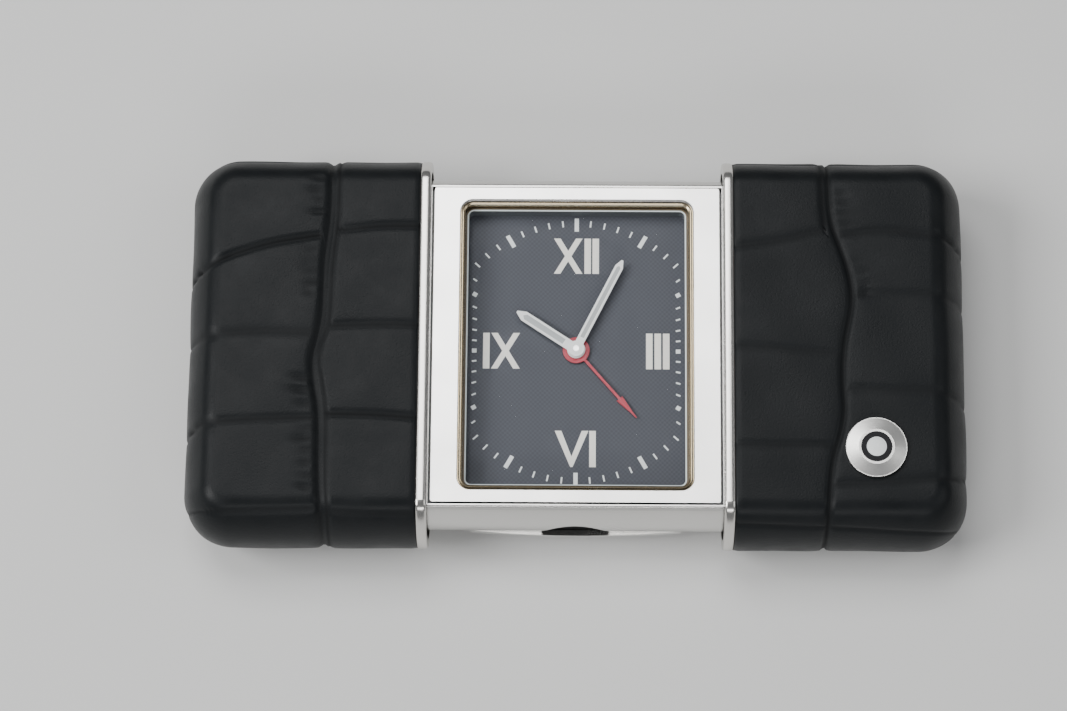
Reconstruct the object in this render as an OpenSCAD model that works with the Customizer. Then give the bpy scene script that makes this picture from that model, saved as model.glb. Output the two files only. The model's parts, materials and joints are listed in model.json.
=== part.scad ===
// Sliding travel alarm clock: a steel chassis that holds a rectangular quartz alarm clock,
// and two leather-covered caps that slide apart along X to show it.
// The clock lies on its back. X runs along the slide, Y points to twelve, Z to the reader.
// The origin is on the surface the clock lies on, under the middle of the dial.

/* [Covers] */
// Height of a cover, along Y
cover_height = 52; // [51:0.5:54]
// Thickness of a cover, along Z
cover_thick = 15.6; // [15.6:0.1:16.4]
// Length of one cover, from its mouth to its closed end
cover_length = 31.6; // [31.4:0.1:34]
// Gap between the two mouths when the covers are open
open_gap = 38.1; // [38:0.1:38.6]
// Radius of the rounded sides of a cover
cover_arc = 10.2; // [9.8:0.1:11]
// Radius of a cover's outer corners, seen from the front
cover_corner = 7; // [6.5:0.1:8]
// Thickness of the leather
leather_thick = 0.9; // [0.7:0.1:0.9]
// Thickness of the pressed steel shell under the leather
shell_thick = 0.5; // [0.4:0.05:0.5]
// Radius of the soft edge between a cover's flat face and its rounded side
cover_edge = 2.0; // [1.7:0.1:2.4]
// Width of the polished bead round the mouth
bead_width = 1.35; // [1.2:0.05:1.4]

/* [Chassis] */
// Half length of the chassis
chassis_half_x = 29.1; // [28.6:0.1:29.2]
// Half height of the chassis
chassis_half_y = 23.5; // [23.4:0.1:23.6]
// Thickness of the chassis
chassis_thick = 10; // [9.8:0.1:10]
// Radius of the chassis' rounded sides
chassis_arc = 8; // [7.8:0.1:9]

/* [Face] */
// Width of the front plate
plate_w = 37.2; // [36:0.1:37.2]
// Height of the front plate
plate_h = 42.4; // [41.8:0.1:42.4]
// Width of the crystal
crystal_w = 29.1; // [28:0.1:29.1]
// Height of the crystal
crystal_h = 37.8; // [37:0.1:37.8]

/* [Hands] */
// Direction of the hour hand, clockwise from twelve, in degrees
hour_angle = 303.5; // [0:0.5:360]
// Direction of the minute hand, clockwise from twelve, in degrees
minute_angle = 26.5; // [0:0.5:360]
// Direction of the alarm hand, clockwise from twelve, in degrees
alarm_angle = 139; // [0:0.5:360]

/* [Badge] */
// Diameter of the round badge on the right cover
badge_d = 7.8; // [6:0.1:9]
// Distance of the badge from the cover's mouth
badge_from_mouth = 19.3; // [16:0.1:21]

/* [Hidden] */
$fn = 72;
eps = 0.01;
arc_steps = 12;                        // flats in each half of a barrel side

mid_z = cover_thick / 2;               // middle plane of the covers and of the chassis
mouth_x = open_gap / 2;                // where each cover's mouth is when open
wall = leather_thick + shell_thick;
bead_round = 0.4;                      // how far the bead's rounded flanks reach down
lip_drop = 0.5;                        // how far the rim's stop lip reaches inwards
lip_half_y = 12;

back_z = mid_z - chassis_thick / 2;    // back face of the chassis
front_z = mid_z + chassis_thick / 2;   // front face of the chassis
chassis_corner = 4.6;
chassis_edge = 0.3;
cavity_floor_z = back_z + 1.8;
cavity_top_z = front_z - 1.6;

plate_gap_x = 0.35;
plate_gap_y = 0.2;
plate_seat_z = front_z - 0.9;
plate_top_z = front_z + 0.3;
window_gap = 0.5;                      // from the crystal's edge to the plate's window, each side
window_bevel = 0.25;
window_r = 1.5;
ring_gap = 0.12;
ring_top_z = plate_top_z - 0.1;
glass_bottom_z = front_z - 1.3;
glass_top_z = plate_top_z - 0.12;
glass_bevel = 0.3;
surround_top_z = glass_bottom_z - 0.2;
dial_top_z = front_z - 3.4;
dial_thick = 0.4;
dial_w = crystal_w + 2.1;
dial_h = crystal_h + 2.0;
print_thick = 0.04;

// back plate and stand
back_half_x = 18.6;
back_half_y = 20.2;
back_thick = 1.2;
stand_half_x = 14.3;
stand_end_y = -22.93;
stand_thick = 0.6;
stand_recess = 0.65;
stand_corner = 4;
lift_half_x = 13.7;                    // the curved lip that a fingernail lifts the stand by
lift_end_y = -23.5;
lift_bow = 0.7;
lift_top_z = back_z + 1.4;
lift_root_y = -21.9;
hinge_y = 0.6;
hinge_z = back_z + 0.8;
knuckle_r = 0.75;
hinge_pin_r = 0.4;
knuckle_in = 6.0;                      // inner end of each knuckle
knuckle_out = 12.5;                    // outer end of each knuckle
notch_r = 4.4;

// battery and hatch
battery_y = -11.5;
battery_r = 5.8;
battery_z = back_z + 1.8;
battery_thick = 3.05;
hatch_r = 6.4;
hatch_lug_r = 7.1;
hatch_lug_angle = 34;

// gears: module of the motion work and of the drive train
work_m = 0.2;
train_m = 0.12;
cannon_t = 10;
minute_wheel_t = 30;
minute_pinion_t = 8;
hour_wheel_t = 32;
time_pinion_t = 36;
alarm_wheel_t = 60;
alarm_pinion_t = 40;
centre_wheel_t = 80;
train_pinion_t = 8;
third_wheel_t = 72;

// gear layers, as heights over the back face
centre_wheel_z = back_z + 3.55;
third_wheel_z = back_z + 2.95;
floor_z = back_z + 4.0;                // underside of the movement plate's floor
cannon_layer_z = back_z + 4.55;
hour_layer_z = back_z + 5.05;
alarm_layer_z = back_z + 5.55;
bridge_z = back_z + 1.75;

// hand layers
alarm_hand_z = dial_top_z + 0.25;
hour_hand_z = dial_top_z + 0.62;
minute_hand_z = dial_top_z + 1.02;
hand_thick = 0.2;

// pipes, from the centre outwards, 0.05 mm apart
arbor_r = 0.38;
cannon_r = 0.5;
hour_pipe_in = 0.55;
hour_pipe_out = 0.8;
alarm_pipe_in = 0.85;
alarm_pipe_out = 1.15;

// places of the arbors
alarm_knob_at = [-6.5, 7.6];
time_knob_at = [6.5, 7.6];
minute_wheel_dist = work_m * (cannon_t + minute_wheel_t) / 2;
knob_dist = norm(time_knob_at);
pinion_dist = work_m * (minute_wheel_t + time_pinion_t) / 2;
time_knob_dir = atan2(time_knob_at[1], time_knob_at[0]);
minute_wheel_dir = time_knob_dir - acos((minute_wheel_dist^2 + knob_dist^2 - pinion_dist^2)
    / (2 * minute_wheel_dist * knob_dist));
minute_wheel_at = minute_wheel_dist * [cos(minute_wheel_dir), sin(minute_wheel_dir)];
third_dir = 190;
third_at = train_m * (centre_wheel_t + train_pinion_t) / 2 * [cos(third_dir), sin(third_dir)];
rotor_dir = 215;
rotor_at = third_at + train_m * (third_wheel_t + train_pinion_t) / 2 * [cos(rotor_dir), sin(rotor_dir)];
alarm_dir = atan2(alarm_knob_at[1], alarm_knob_at[0]);
knob_from_wheel = time_knob_at - minute_wheel_at;
knob_from_wheel_dir = atan2(knob_from_wheel[1], knob_from_wheel[0]);

knob_r = 3.6;
knob_well_r = 4.1;
knob_top_z = back_z - 0.7;
switch_y = 15;
switch_travel = 3;
switch_half_x = 2;
switch_half_y = 1.2;

// ---------- shared shapes ----------

// Phase of a gear that meshes with one of phase_a and teeth_a, seen from it in direction dir
function mesh_phase(dir, phase_a, teeth_a, teeth_b) =
    dir + 180 + ((dir - phase_a) * teeth_a / 360 + 0.5) * 360 / teeth_b;

// Spur gear outline with straight-flanked teeth and running backlash
module gear_outline(teeth, m, phase = 0) {
    root = m * (teeth / 2 - 1.15);
    tip = m * (teeth / 2 + 0.8);
    pitch = 360 / teeth;
    polygon([for (i = [0:teeth - 1]) for (p = [[-0.25, root], [-0.1, tip], [0.1, tip], [0.25, root]])
        let (a = phase + (i + p[0]) * pitch) p[1] * [cos(a), sin(a)]]);
}

module gear(teeth, m, phase, thick, bore_r) {
    linear_extrude(thick) difference() {
        gear_outline(teeth, m, phase);
        circle(bore_r);
    }
}

module tube(r_out, r_in, h) {
    difference() {
        cylinder(r = r_out, h = h);
        translate([0, 0, -1]) cylinder(r = r_in, h = h + 2);
    }
}

module rounded_outline(hx, hy, r) {
    square([2 * hx, 2 * (hy - r)], center = true);
    square([2 * (hx - r), 2 * hy], center = true);
    for (sx = [-1, 1], sy = [-1, 1]) translate([sx * (hx - r), sy * (hy - r)]) circle(r);
}

module rounded_prism(hx, hy, r, z0, z1) {
    translate([0, 0, z0]) linear_extrude(z1 - z0) rounded_outline(hx, hy, r);
}

module block(x0, x1, y0, y1, z0, z1) {
    translate([x0, y0, z0]) cube([x1 - x0, y1 - y0, z1 - z0]);
}

// A section, drawn as [outwards, up], carried round a rounded rectangle of corner radius r
module frame_sweep(hx, hy, r) {
    for (s = [0, 180]) rotate([0, 0, s]) {
        translate([hx, -(hy - r), 0]) rotate([90, 0, 180]) mirror([1, 0, 0])
            linear_extrude(2 * (hy - r)) children();
        translate([-(hx - r), hy, 0]) rotate([90, 0, 90])
            linear_extrude(2 * (hx - r)) children();
        translate([hx - r, hy - r, 0]) rotate_extrude(angle = 90) translate([r, 0]) children();
        translate([-(hx - r), hy - r, 0]) rotate([0, 0, 90])
            rotate_extrude(angle = 90) translate([r, 0]) children();
    }
}

// Where the edge rounding of a barrel side is centred, along x, and where it ends, in degrees
function edge_x(w, arc, half_t, edge) = w - arc + sqrt((arc - edge)^2 - (half_t - edge)^2);
function edge_angle(arc, half_t, edge) = asin((half_t - edge) / (arc - edge));
function unit(angle) = [cos(angle), sin(angle)];

// Half of a barrel-sided section, from the middle line out to x = w
module half_barrel(w, arc, half_t, edge) {
    ex = edge_x(w, arc, half_t, edge);
    ez = half_t - edge;
    b = edge_angle(arc, half_t, edge);
    n = arc_steps;
    polygon([[0, -half_t],
        for (i = [0:n / 2]) [ex, -ez] + edge * unit(-90 + i * (90 - b) * 2 / n),
        for (i = [1:2 * n - 1]) [w - arc, 0] + arc * unit(-b + i * b / n),
        for (i = [0:n / 2]) [ex, ez] + edge * unit(b + i * (90 - b) * 2 / n),
        [0, half_t]]);
}

module barrel(w, arc, half_t, edge) {
    half_barrel(w, arc, half_t, edge);
    mirror([1, 0]) half_barrel(w, arc, half_t, edge);
}

// A section, drawn as [outwards, along X], carried round the barrel-sided outline
module barrel_sweep(w, arc, half_t, edge) {
    ex = edge_x(w, arc, half_t, edge);
    ez = half_t - edge;
    b = edge_angle(arc, half_t, edge);
    rotate([90, 0, 90]) for (s = [0, 180]) rotate([0, 0, s]) {
        translate([w - arc, 0, 0]) rotate([0, 0, -b]) rotate_extrude(angle = 2 * b)
            translate([arc, 0]) children();
        translate([ex, ez, 0]) rotate([0, 0, b]) rotate_extrude(angle = 90 - b)
            translate([edge, 0]) children();
        translate([ex, -ez, 0]) rotate([0, 0, -90]) rotate_extrude(angle = 90 - b)
            translate([edge, 0]) children();
        translate([-ex, half_t, 0]) rotate([90, 0, 90])
            linear_extrude(2 * ex) children();
    }
}

// Closed end of a barrel-sided body: its end strip and two corners, from x = len - corner to len
module barrel_end(len, hy, corner, arc, half_t, edge) {
    translate([len - corner, 0, 0]) {
        translate([0, hy - corner, 0]) rotate([90, 0, 0]) linear_extrude(2 * (hy - corner))
            half_barrel(corner, arc, half_t, edge);
        translate([0, hy - corner, 0]) rotate_extrude(angle = 90)
            half_barrel(corner, arc, half_t, edge);
        translate([0, -(hy - corner), 0]) rotate([0, 0, -90]) rotate_extrude(angle = 90)
            half_barrel(corner, arc, half_t, edge);
    }
}

// Barrel-sided body from x0 to a closed end at x = len
module barrel_cap(x0, len, hy, corner, arc, half_t, edge) {
    translate([x0, 0, 0]) rotate([90, 0, 90]) linear_extrude(len - corner - x0)
        barrel(hy, arc, half_t, edge);
    barrel_end(len, hy, corner, arc, half_t, edge);
}

// The right cover's outer form, taken in by inset, from x0 past its mouth
module cover_body(x0, inset) {
    translate([mouth_x, 0, mid_z])
        barrel_cap(x0, cover_length - inset, cover_height / 2 - inset, cover_corner - inset,
            cover_arc - inset, mid_z - inset, cover_edge - inset);
}

module cover_layer(outer, inner) {
    difference() {
        cover_body(bead_width, outer);
        cover_body(-1, inner);
    }
}

module left_side() {
    mirror([1, 0, 0]) children();
}

// ---------- covers ----------

module leather() {
    color("#1b1c1f") cover_layer(0, leather_thick);
}

module shell() {
    color("silver") cover_layer(leather_thick, wall);
}

module rim() {
    color("gainsboro") {
        translate([mouth_x, 0, mid_z]) barrel_sweep(cover_height / 2, cover_arc, mid_z, cover_edge)
            polygon([[-wall, 0],
                for (t = [0:10:180]) [bead_round * (pow(abs(sin(t)), 0.6) - 1) - 0.02,
                    bead_width / 2 * (1 - sign(cos(t)) * pow(abs(cos(t)), 0.7))],
                [-wall, bead_width]]);
        block(mouth_x, mouth_x + bead_width, -lip_half_y, lip_half_y,
            cover_thick - wall - lip_drop, cover_thick - wall + eps);
    }
}

badge_at = [mouth_x + badge_from_mouth, -14.5, cover_thick];
badge_rise = 0.9;
badge_inlay_r = 2.0;
badge_stud_r = 0.8;

module badge() {
    color("lightgray") translate(badge_at) difference() {
        union() {
            cylinder(r = badge_d / 2, h = badge_rise * 0.6);
            translate([0, 0, badge_rise * 0.6])
                cylinder(r1 = badge_d / 2 - 0.1, r2 = badge_inlay_r + 0.3, h = badge_rise * 0.4);
            translate([0, 0, -wall - 0.1]) cylinder(r = badge_stud_r, h = wall + 0.2);
        }
        translate([0, 0, badge_rise - 0.35]) cylinder(r = badge_inlay_r, h = 1);
    }
}

module badge_inlay() {
    color("black") translate(badge_at + [0, 0, badge_rise - 0.35]) cylinder(r = badge_inlay_r, h = 0.33);
}

module badge_stud_hole() {
    translate(badge_at + [0, 0, -wall - 1]) cylinder(r = badge_stud_r, h = wall + 2);
}

// ---------- chassis ----------

module chassis_body() {
    translate([0, 0, mid_z]) {
        barrel_cap(-eps, chassis_half_x, chassis_half_y, chassis_corner, chassis_arc,
            chassis_thick / 2, chassis_edge);
        left_side() barrel_cap(-eps, chassis_half_x, chassis_half_y, chassis_corner, chassis_arc,
            chassis_thick / 2, chassis_edge);
    }
}

back_screw_at = [16.6, 18.4];
ear_screw_at = [17.4, 10];

module at_four(p) {
    for (sx = [-1, 1], sy = [-1, 1]) translate([sx * p[0], sy * p[1], 0]) children();
}

module chassis_frame() {
    color("lightgray") {
        difference() {
            chassis_body();
            block(-plate_w / 2 - plate_gap_x, plate_w / 2 + plate_gap_x, -plate_h / 2 - plate_gap_y,
                plate_h / 2 + plate_gap_y, plate_seat_z, front_z + 1);
            rounded_prism(27, 21.4, 4, cavity_floor_z, cavity_top_z);
            block(-dial_w / 2 - 0.1, dial_w / 2 + 0.1, -dial_h / 2 - 0.1, dial_h / 2 + 0.1,
                cavity_top_z - 1, plate_seat_z + 1);
            rounded_prism(17.2, 19.5, 3, back_z - 1, cavity_floor_z + 1);
            block(-back_half_x - 0.05, back_half_x + 0.05, -back_half_y - 0.05, back_half_y + 0.05,
                back_z - 1, back_z + back_thick);
            block(-stand_half_x - 0.2, stand_half_x + 0.2, -chassis_half_y - 1, -back_half_y,
                back_z - 1, back_z + stand_recess);
            // fingernail notch that opens the stand
            translate([0, -chassis_half_y + 1.4, back_z + 1.8]) rotate([90, 0, 0])
                cylinder(r = notch_r, h = 3);
            at_four(back_screw_at) translate([0, 0, back_z]) cylinder(r = 0.5, h = 3);
        }
        at_four(ear_screw_at) translate([0, 0, floor_z + 0.4]) tube(1.3, 0.45, cavity_top_z - floor_z - 0.4 + eps);
    }
}

module front_plate() {
    hx = crystal_w / 2 + window_gap;
    hy = crystal_h / 2 + window_gap;
    color("whitesmoke") difference() {
        rounded_prism(plate_w / 2, plate_h / 2, 0.3, plate_seat_z, plate_top_z);
        rounded_prism(hx, hy, window_r, plate_seat_z - 1, plate_top_z + 1);
        translate([0, 0, plate_top_z]) frame_sweep(hx, hy, window_r)
            polygon([[-0.1, -window_bevel - 0.1], [window_bevel + 0.1, 0.1], [-0.1, 0.1]]);
    }
}

module bezel_ring() {
    hx = crystal_w / 2 + window_gap - ring_gap;
    hy = crystal_h / 2 + window_gap - ring_gap;
    inner = -(window_gap - ring_gap - 0.05);
    color("lightsteelblue") frame_sweep(hx, hy, window_r - ring_gap)
        polygon([[0, surround_top_z], [0, ring_top_z - 0.12], [-0.12, ring_top_z],
            [inner, ring_top_z - 0.14], [inner, surround_top_z]]);
}

module crystal() {
    color("lightcyan", 0.4) difference() {
        rounded_prism(crystal_w / 2, crystal_h / 2, window_r - 0.4, glass_bottom_z, glass_top_z);
        translate([0, 0, glass_top_z]) frame_sweep(crystal_w / 2, crystal_h / 2, window_r - 0.4)
            polygon([[-glass_bevel - 0.05, 0.05], [0.05, -glass_bevel - 0.05], [0.05, 0.05]]);
    }
}

module crystal_gasket() {
    color("dimgray") difference() {
        rounded_prism(crystal_w / 2, crystal_h / 2, window_r - 0.4, surround_top_z, glass_bottom_z);
        rounded_prism(crystal_w / 2 - 0.4, crystal_h / 2 - 0.4, 0.7, surround_top_z - 1, glass_bottom_z + 1);
    }
}

module dial_surround() {
    color("slategray") difference() {
        block(-dial_w / 2, dial_w / 2, -dial_h / 2, dial_h / 2, dial_top_z, surround_top_z);
        rounded_prism(crystal_w / 2 - 0.35, crystal_h / 2 - 0.35, 0.8, dial_top_z - 1, surround_top_z + 1);
    }
}

// ---------- dial ----------

module dial() {
    color("dimgray") difference() {
        block(-dial_w / 2, dial_w / 2, -dial_h / 2, dial_h / 2, dial_top_z - dial_thick, dial_top_z);
        translate([0, 0, dial_top_z - 1]) cylinder(r = 1.3, h = 2);
    }
}

numeral_h = 4.85;
stroke = 0.85;
numeral_gap = 0.25;

module numeral_bar(x) {
    translate([x, -numeral_h / 2]) square([stroke, numeral_h]);
}

// A letter X that starts at x and is w wide
module numeral_x(x, w) {
    h = numeral_h / 2;
    polygon([[x, -h], [x + stroke, -h], [x + w, h], [x + w - stroke, h]]);
    polygon([[x, h], [x + stroke, h], [x + w, -h], [x + w - stroke, -h]]);
}

module numeral_v(x, w) {
    h = numeral_h / 2;
    polygon([[x, h], [x + stroke, h], [x + w / 2, -h + 1.4], [x + w - stroke, h], [x + w, h],
        [x + w / 2 + 0.15, -h], [x + w / 2 - 0.15, -h]]);
}

module dial_numerals() {
    step = stroke + numeral_gap;
    color("ivory") translate([0, 0, dial_top_z]) linear_extrude(print_thick) {
        translate([0, 13.0]) {
            numeral_x(-2.98, 3.74);
            for (i = [0, 1]) numeral_bar(1.03 + i * (stroke + 0.2));
        }
        translate([10.64, 0]) for (i = [0:2]) numeral_bar(-step - stroke / 2 + i * step);
        translate([0, -13.2]) {
            numeral_v(-2.72, 4.35);
            numeral_bar(1.75);
        }
        translate([-12.15, 0]) {
            numeral_bar(0);
            numeral_x(1.06, 3.74);
        }
    }
}

track_r = 17.5;                        // radius of the minute track at top and bottom
track_half_x = 13.3;                   // where the track runs straight at the sides

module dial_minute_marks() {
    color("aliceblue") for (m = [0:59]) {
        a = 6 * m;
        hour = m % 5 == 0;
        side = abs(sin(a)) * track_r > track_half_x;
        r = side ? track_half_x / abs(sin(a)) : (hour ? track_r - 0.2 : track_r);
        len = side ? 0.6 : (hour ? 1.8 : 0.85);
        wide = hour ? 0.55 : 0.22;
        rotate([0, 0, -a]) translate([-wide / 2, r - len / 2, dial_top_z]) cube([wide, len, print_thick]);
    }
}

// ---------- hands ----------

module pencil_hand(from, len, w, point) {
    polygon([[-w / 2, from], [-w / 2, len - point], [-0.12, len], [0.12, len], [w / 2, len - point],
        [w / 2, from]]);
}

module lume_slot(from, to, w) {
    translate([0, from]) polygon([[-w / 2, 0], [-w / 2, to - from - w / 2], [0, to - from],
        [w / 2, to - from - w / 2], [w / 2, 0]]);
}

hour_len = 9.3;
hour_w = 1.35;
hour_boss_r = 1.18;
minute_len = 13.5;
minute_w = 1.1;
minute_boss_r = 1.05;
lume_inset = 0.3;

module hour_hand() {
    color("white") translate([0, 0, hour_hand_z]) rotate([0, 0, -hour_angle]) {
        linear_extrude(hand_thick) difference() {
            pencil_hand(0.95, hour_len, hour_w, 1.1);
            lume_slot(1.9, hour_len - 1, hour_w - 2 * lume_inset);
        }
        tube(hour_boss_r, hour_pipe_out, hand_thick + 0.05);
    }
}

module hour_hand_lume() {
    color("honeydew") translate([0, 0, hour_hand_z + 0.02]) rotate([0, 0, -hour_angle])
        linear_extrude(hand_thick - 0.02) lume_slot(1.9, hour_len - 1, hour_w - 2 * lume_inset);
}

module minute_hand() {
    color("white") translate([0, 0, minute_hand_z]) rotate([0, 0, -minute_angle]) {
        linear_extrude(hand_thick) difference() {
            pencil_hand(0.7, minute_len, minute_w, 1.0);
            lume_slot(1.7, minute_len - 0.9, minute_w - 2 * lume_inset);
        }
        tube(minute_boss_r, arbor_r, hand_thick + 0.05);
        tube(0.7, arbor_r, hand_thick + 0.12);
    }
}

module minute_hand_lume() {
    color("honeydew") translate([0, 0, minute_hand_z + 0.02]) rotate([0, 0, -minute_angle])
        linear_extrude(hand_thick - 0.02) lume_slot(1.7, minute_len - 0.9, minute_w - 2 * lume_inset);
}

module alarm_hand() {
    color("crimson") translate([0, 0, alarm_hand_z]) rotate([0, 0, -alarm_angle]) {
        linear_extrude(hand_thick)
            polygon([[-0.17, 1.45], [-0.17, 8.7], [-0.48, 8.6], [-0.14, 11.0], [-0.06, 12.0],
                [0.06, 12.0], [0.14, 11.0], [0.48, 8.6], [0.17, 8.7], [0.17, 1.45]]);
        tube(1.75, alarm_pipe_out, hand_thick + 0.02);
    }
}

module centre_arbor() {
    color("goldenrod") {
        translate([0, 0, bridge_z]) cylinder(r = arbor_r, h = minute_hand_z + hand_thick + 0.17 - bridge_z);
        translate([0, 0, floor_z + 0.45]) cylinder(r = cannon_r, h = minute_hand_z - floor_z - 0.5);
        translate([0, 0, cannon_layer_z - 0.05]) gear(cannon_t, work_m, 0, 0.4, arbor_r - 0.1);
    }
}

module centre_wheel() {
    color("gold") translate([0, 0, centre_wheel_z]) gear(centre_wheel_t, train_m, 0, 0.25, arbor_r);
}

minute_wheel_phase = mesh_phase(minute_wheel_dir, 0, cannon_t, minute_wheel_t);

module hour_wheel() {
    color("ghostwhite") translate([0, 0, hour_layer_z]) {
        gear(hour_wheel_t, work_m, mesh_phase(minute_wheel_dir + 180, 0, minute_pinion_t, hour_wheel_t),
            0.3, hour_pipe_in);
        tube(hour_pipe_out, hour_pipe_in, hour_hand_z + hand_thick - hour_layer_z);
    }
}

module alarm_wheel() {
    color("ghostwhite") translate([0, 0, alarm_layer_z]) {
        gear(alarm_wheel_t, work_m, 0, 0.3, alarm_pipe_in);
        tube(alarm_pipe_out, alarm_pipe_in, alarm_hand_z + hand_thick - alarm_layer_z);
    }
}

module minute_wheel() {
    color("ghostwhite") translate([minute_wheel_at[0], minute_wheel_at[1], 0]) {
        translate([0, 0, cannon_layer_z]) gear(minute_wheel_t, work_m, minute_wheel_phase, 0.3, 0.35);
        translate([0, 0, cannon_layer_z + 0.3]) gear(minute_pinion_t, work_m, 0, 0.5, 0.35);
    }
}

module third_wheel() {
    color("gold") translate([third_at[0], third_at[1], 0]) {
        translate([0, 0, bridge_z]) cylinder(r = 0.2, h = floor_z + 0.4 - bridge_z);
        translate([0, 0, third_wheel_z]) gear(third_wheel_t, train_m, 0, 0.2, 0.15);
        translate([0, 0, third_wheel_z + 0.2])
            gear(train_pinion_t, train_m, mesh_phase(third_dir, 0, centre_wheel_t, train_pinion_t), 0.7, 0.15);
    }
}

module rotor() {
    color("dimgray") translate([rotor_at[0], rotor_at[1], 0]) {
        translate([0, 0, bridge_z]) cylinder(r = 0.15, h = floor_z + 0.4 - bridge_z);
        translate([0, 0, back_z + 2.15]) cylinder(r = 0.8, h = 0.5);
        translate([0, 0, back_z + 2.7])
            gear(train_pinion_t, train_m, mesh_phase(rotor_dir, 0, third_wheel_t, train_pinion_t), 0.6, 0.1);
    }
}

// ---------- movement ----------

module movement_plate() {
    color("beige") difference() {
        union() {
            rounded_prism(15, 19.4, 1, floor_z, floor_z + 0.4);
            difference() {
                rounded_prism(15, 19.4, 1, floor_z + 0.4, dial_top_z - dial_thick);
                rounded_prism(14.1, 18.5, 0.6, floor_z, dial_top_z);
            }
            for (sy = [-1, 1]) block(-18.8, 18.8, sy * ear_screw_at[1] - 1.5, sy * ear_screw_at[1] + 1.5,
                floor_z, floor_z + 0.4);
            for (p = bridge_screw_at) translate([p[0], p[1], bridge_z + 0.3])
                cylinder(r = 1.1, h = floor_z - bridge_z - 0.3 + eps);
            translate([minute_wheel_at[0], minute_wheel_at[1], floor_z]) cylinder(r = 0.3, h = 1.45);
        }
        translate([0, 0, floor_z - 1]) cylinder(r = cannon_r + 0.05, h = 3);
        translate([third_at[0], third_at[1], floor_z - 1]) cylinder(r = 0.25, h = 3);
        translate([rotor_at[0], rotor_at[1], floor_z - 1]) cylinder(r = 0.2, h = 3);
        for (p = [alarm_knob_at, time_knob_at]) translate([p[0], p[1], floor_z - 1]) cylinder(r = 0.75, h = 3);
        translate([0, battery_y, floor_z - 1]) cylinder(r = battery_r + 0.2, h = 3);
        for (p = bridge_screw_at) translate([p[0], p[1], bridge_z]) cylinder(r = 0.4, h = 2);
        at_four(ear_screw_at) translate([0, 0, floor_z - 1]) cylinder(r = 0.45, h = 3);
    }
}

bridge_screw_at = [[-12.6, 16], [12.6, 16], [12.6, -16.6], [-8.2, -16.6]];

module movement_bridge() {
    color("tan") difference() {
        rounded_prism(15, 19.4, 1, bridge_z, bridge_z + 0.3);
        translate([0, 0, bridge_z - 1]) cylinder(r = arbor_r + 0.05, h = 3);
        translate([third_at[0], third_at[1], bridge_z - 1]) cylinder(r = 0.25, h = 3);
        translate([rotor_at[0], rotor_at[1], bridge_z - 1]) cylinder(r = 0.2, h = 3);
        for (p = [alarm_knob_at, time_knob_at]) translate([p[0], p[1], bridge_z - 1]) cylinder(r = 0.75, h = 3);
        translate([0, battery_y, bridge_z - 1]) cylinder(r = hatch_lug_r + 0.2, h = 3);
        for (p = bridge_screw_at) translate([p[0], p[1], bridge_z - 1]) cylinder(r = 0.4, h = 3);
        translate([0, 14.2, bridge_z - 1]) cylinder(r = 4.1, h = 3);
        block(coil_x - 1.3, coil_x + 1.3, coil_y[0] - 0.3, coil_y[1] + 0.3, bridge_z - 1, bridge_z + 1);
    }
}

module screw(head_r, head_h, shaft_r, len) {
    difference() {
        cylinder(r = head_r, h = head_h);
        block(-head_r - 1, head_r + 1, -0.14, 0.14, -1, head_h * 0.45);
    }
    translate([0, 0, head_h - eps]) cylinder(r = shaft_r, h = len);
}

module bridge_screws() {
    color("silver") for (p = bridge_screw_at) translate([p[0], p[1], bridge_z - 0.35])
        screw(0.85, 0.35, 0.4, 1.9);
}

module movement_screws() {
    color("silver") at_four(ear_screw_at) translate([0, 0, floor_z - 0.45]) screw(1, 0.45, 0.44, 2.4);
}

coil_x = -12.4;
coil_y = [-14.5, -7.5];
coil_z = back_z + 2.75;
stator_z = back_z + 2.2;

module motor_stator() {
    color("gray") difference() {
        union() {
            block(coil_x - 0.6, coil_x + 0.6, coil_y[0] - 1, coil_y[1] + 1, stator_z, stator_z + 0.35);
            block(coil_x - 0.6, rotor_at[0] + 1.9, coil_y[1] + 0.1, coil_y[1] + 1.5, stator_z, stator_z + 0.35);
            block(rotor_at[0] - 1.9, rotor_at[0] + 1.9, coil_y[1] + 0.1, rotor_at[1] + 1.8, stator_z,
                stator_z + 0.35);
        }
        translate([rotor_at[0], rotor_at[1], stator_z - 1]) cylinder(r = 1.05, h = 3);
    }
}

module motor_coil() {
    color("sienna") translate([coil_x, coil_y[1], coil_z]) rotate([90, 0, 0]) difference() {
        cylinder(r = 1.15, h = coil_y[1] - coil_y[0]);
        block(-0.62, 0.62, stator_z - coil_z - 0.02, stator_z - coil_z + 0.37, -1, 20);
    }
}

module circuit_board() {
    color("darkgreen") difference() {
        block(8, 14.6, -14.6, 4, back_z + 2.2, back_z + 2.7);
        translate([minute_wheel_at[0], minute_wheel_at[1], 0]) cylinder(r = 0.9, h = 20);
    }
}

module quartz_can() {
    color("silver") translate([11.3, -3, back_z + 3.35]) rotate([90, 0, 0]) cylinder(r = 0.6, h = 5);
}

module buzzer() {
    color("black") translate([0, 14.2, back_z + 1.75]) difference() {
        cylinder(r = 3.9, h = 2.1);
        translate([0, 0, -1]) cylinder(r = 0.8, h = 1.6);
    }
}

module battery() {
    color("gainsboro") translate([0, battery_y, battery_z]) {
        cylinder(r = battery_r, h = battery_thick - 0.3);
        translate([0, 0, battery_thick - 0.3]) cylinder(r = battery_r - 1, h = 0.3);
    }
}

module battery_contacts() {
    color("gold") {
        block(-1, 1, battery_y - 4, battery_y + 4, battery_z + battery_thick + 0.05,
            battery_z + battery_thick + 0.25);
        block(6.7, 7.3, battery_y - 2.5, battery_y + 2.5, back_z + 2.2, back_z + 3.9);
    }
}

// ---------- back ----------

module hinge_bore(r) {
    translate([-20, hinge_y, hinge_z]) rotate([0, 90, 0]) cylinder(r = r, h = 40);
}

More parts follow.
